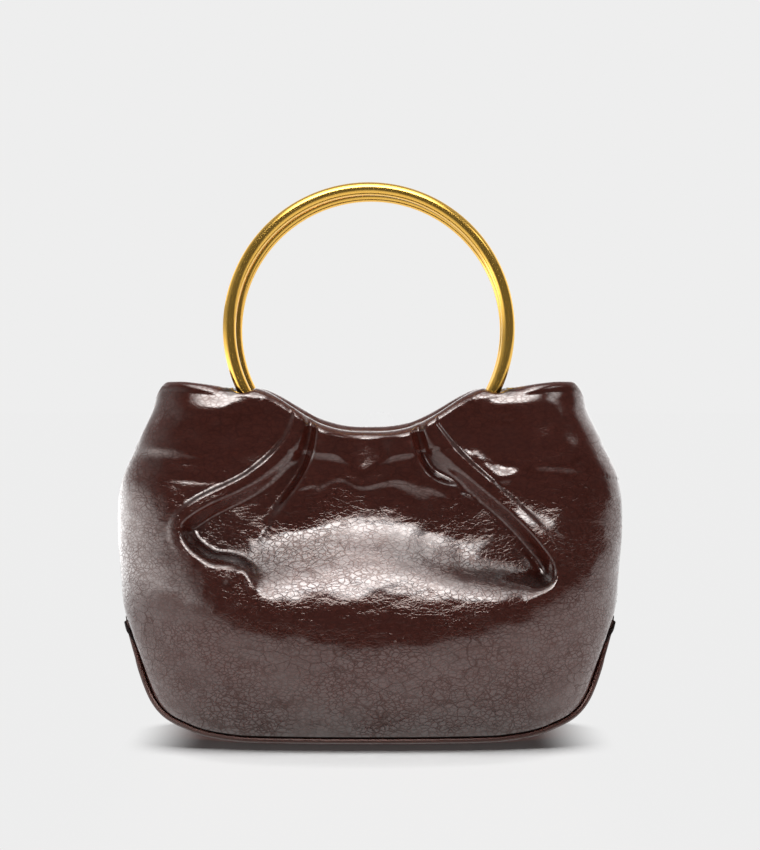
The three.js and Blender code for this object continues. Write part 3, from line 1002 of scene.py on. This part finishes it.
def addPanel(name, node, rolls, folds, turned):
    grid, opening = panelGrid(rolls, folds, turned)
    if turned:
        grid = grid * halfRound
    piece = shapeGrid(name, grid, opening)
    for material in (panelLeather, suedeInside, paintedSeamShade):
        piece.data.materials.append(material)
    # the rolled lower edge rows take the painted seam shade
    for face in piece.data.polygons[:panel["edgeRows"] * (grid.shape[1] - 1)]:
        face.material_index = 2
    thicken(piece, panel["leather"], 1)
    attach(piece, "bag")
    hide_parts(node)


addPanel("frontPanel", "front_panel", frontRolls, frontFolds, False)
addPanel("backPanel", "back_panel", mirrored(frontRolls), mirrored(frontFolds), True)
print("panels made")

# Base between the two seams, with its pointed ends tucked in
gusset = {
    "leather": 1.6,
    "alongSteps": 220,
    "acrossSteps": 24,
    "reach": 1.04,
    "underCord": 0.6,
    "leastSquare": 0.05,
    "leastHalf": 0.25,
    "tuck": 1.6,
    "tuckFrom": 0.88,
    "tuckOver": 0.14,
}


def addGusset():
    share = np.linspace(-gusset["reach"], gusset["reach"], gusset["alongSteps"] + 1)
    seam = seamPoint(share)
    tangent = seamTangent(share)
    outward = unit(np.stack([tangent[:, 2], np.zeros(len(share)), -tangent[:, 0]], -1))
    square = np.sqrt(np.maximum(gusset["leastSquare"], 1 - tangent[:, 1] ** 2))
    underCord = baseSeam["cord"] * gusset["underCord"] / square
    half = np.maximum(gusset["leastHalf"], np.abs(seam[:, 1]) - underCord)
    tucked = smooth((np.abs(share) - gusset["tuckFrom"]) / gusset["tuckOver"])[:, None]
    skin = seam + outward * between(seamFloor, -gusset["tuck"], tucked)
    rows = []
    for across in np.linspace(1, -1, gusset["acrossSteps"] + 1):
        row = skin.copy()
        row[:, 1] = across * half
        row[:, 2] = np.maximum(0, row[:, 2])
        rows.append(row)
    piece = shapeGrid("baseGusset", np.stack(rows))
    piece.data.materials.append(panelLeather)
    piece.data.materials.append(suedeInside)
    thicken(piece, gusset["leather"], 1)
    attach(piece, "bag")
    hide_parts("base_gusset")


addGusset()
print("base made")

# Rolled piping along each base seam, its ends tucked into the points
pipingCord = {
    "reach": 1.04,
    "tuck": 1.6,
    "tuckFrom": 0.97,
    "tuckOver": 0.08,
    "steps": 160,
    "roundness": 4,
}


def addPiping(name, node, turned):
    pickNothing()
    share = np.linspace(-pipingCord["reach"], pipingCord["reach"], pipingCord["steps"])
    points = seamPoint(share)
    tucked = smooth((np.abs(share) - pipingCord["tuckFrom"]) / pipingCord["tuckOver"])
    points[:, 0] -= np.sign(share) * pipingCord["tuck"] * tucked
    points = points * metre
    if turned:
        points = points * halfRound
    bpy.ops.curve.primitive_nurbs_path_add(location=(0, 0, 0))
    piece = bpy.context.object
    piece.name = name
    curve = piece.data
    curve.splines.clear()
    spline = curve.splines.new("POLY")
    spline.points.add(len(points) - 1)
    spline.points.foreach_set("co", np.column_stack([points, np.ones(len(points))]).reshape(-1))
    curve.dimensions = "3D"
    curve.bevel_depth = baseSeam["cord"] * metre
    curve.bevel_resolution = pipingCord["roundness"]
    curve.use_fill_caps = True
    piece.select_set(True)
    bpy.context.view_layer.objects.active = piece
    bpy.ops.object.convert(target="MESH")
    piece = bpy.context.object
    bpy.ops.object.shade_smooth()
    piece.data.materials.clear()
    piece.data.materials.append(pipingLeather)
    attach(piece, "bag")
    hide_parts(node)


addPiping("frontPiping", "front_piping", False)
addPiping("backPiping", "back_piping", True)
print("piping made")

# Ring handles, each a round wire section spun about its axis
ringMesh = {
    "steps": 180,
    "sides": 28,
    "weld": 0.000005,
}


def addRing(name, node, body, turned):
    pickNothing()
    side = -1 if turned else 1
    middle = Vector((ringHandle["x"] * side, ringHandle["y"] * side, ringHandle["z"])) * metre
    radius = (ringHandle["diameter"] - ringHandle["wire"]) / 2 * metre
    bpy.ops.mesh.primitive_circle_add(
        vertices=ringMesh["sides"], radius=ringHandle["wire"] / 2 * metre,
        location=middle + Vector((radius, 0, 0)), rotation=(0, 0, 0))
    piece = bpy.context.object
    piece.name = name
    piece.data.name = name
    bpy.ops.object.transform_apply(location=True, rotation=True, scale=True)
    bpy.ops.object.mode_set(mode="EDIT")
    bpy.ops.mesh.select_all(action="SELECT")
    bpy.ops.mesh.spin(
        steps=ringMesh["steps"], angle=2 * math.pi, center=middle, axis=(0, 1, 0), use_auto_merge=True)
    bpy.ops.mesh.select_all(action="SELECT")
    bpy.ops.mesh.remove_doubles(threshold=ringMesh["weld"])
    bpy.ops.mesh.normals_make_consistent(inside=False)
    bpy.ops.object.mode_set(mode="OBJECT")
    bpy.ops.object.shade_smooth()
    piece.data.materials.append(goldMetal)
    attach(piece, body)
    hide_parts(node)


addRing("frontRing", "front_ring", "front_ring_body", False)
addRing("backRing", "back_ring", "back_ring_body", True)
print("rings made")
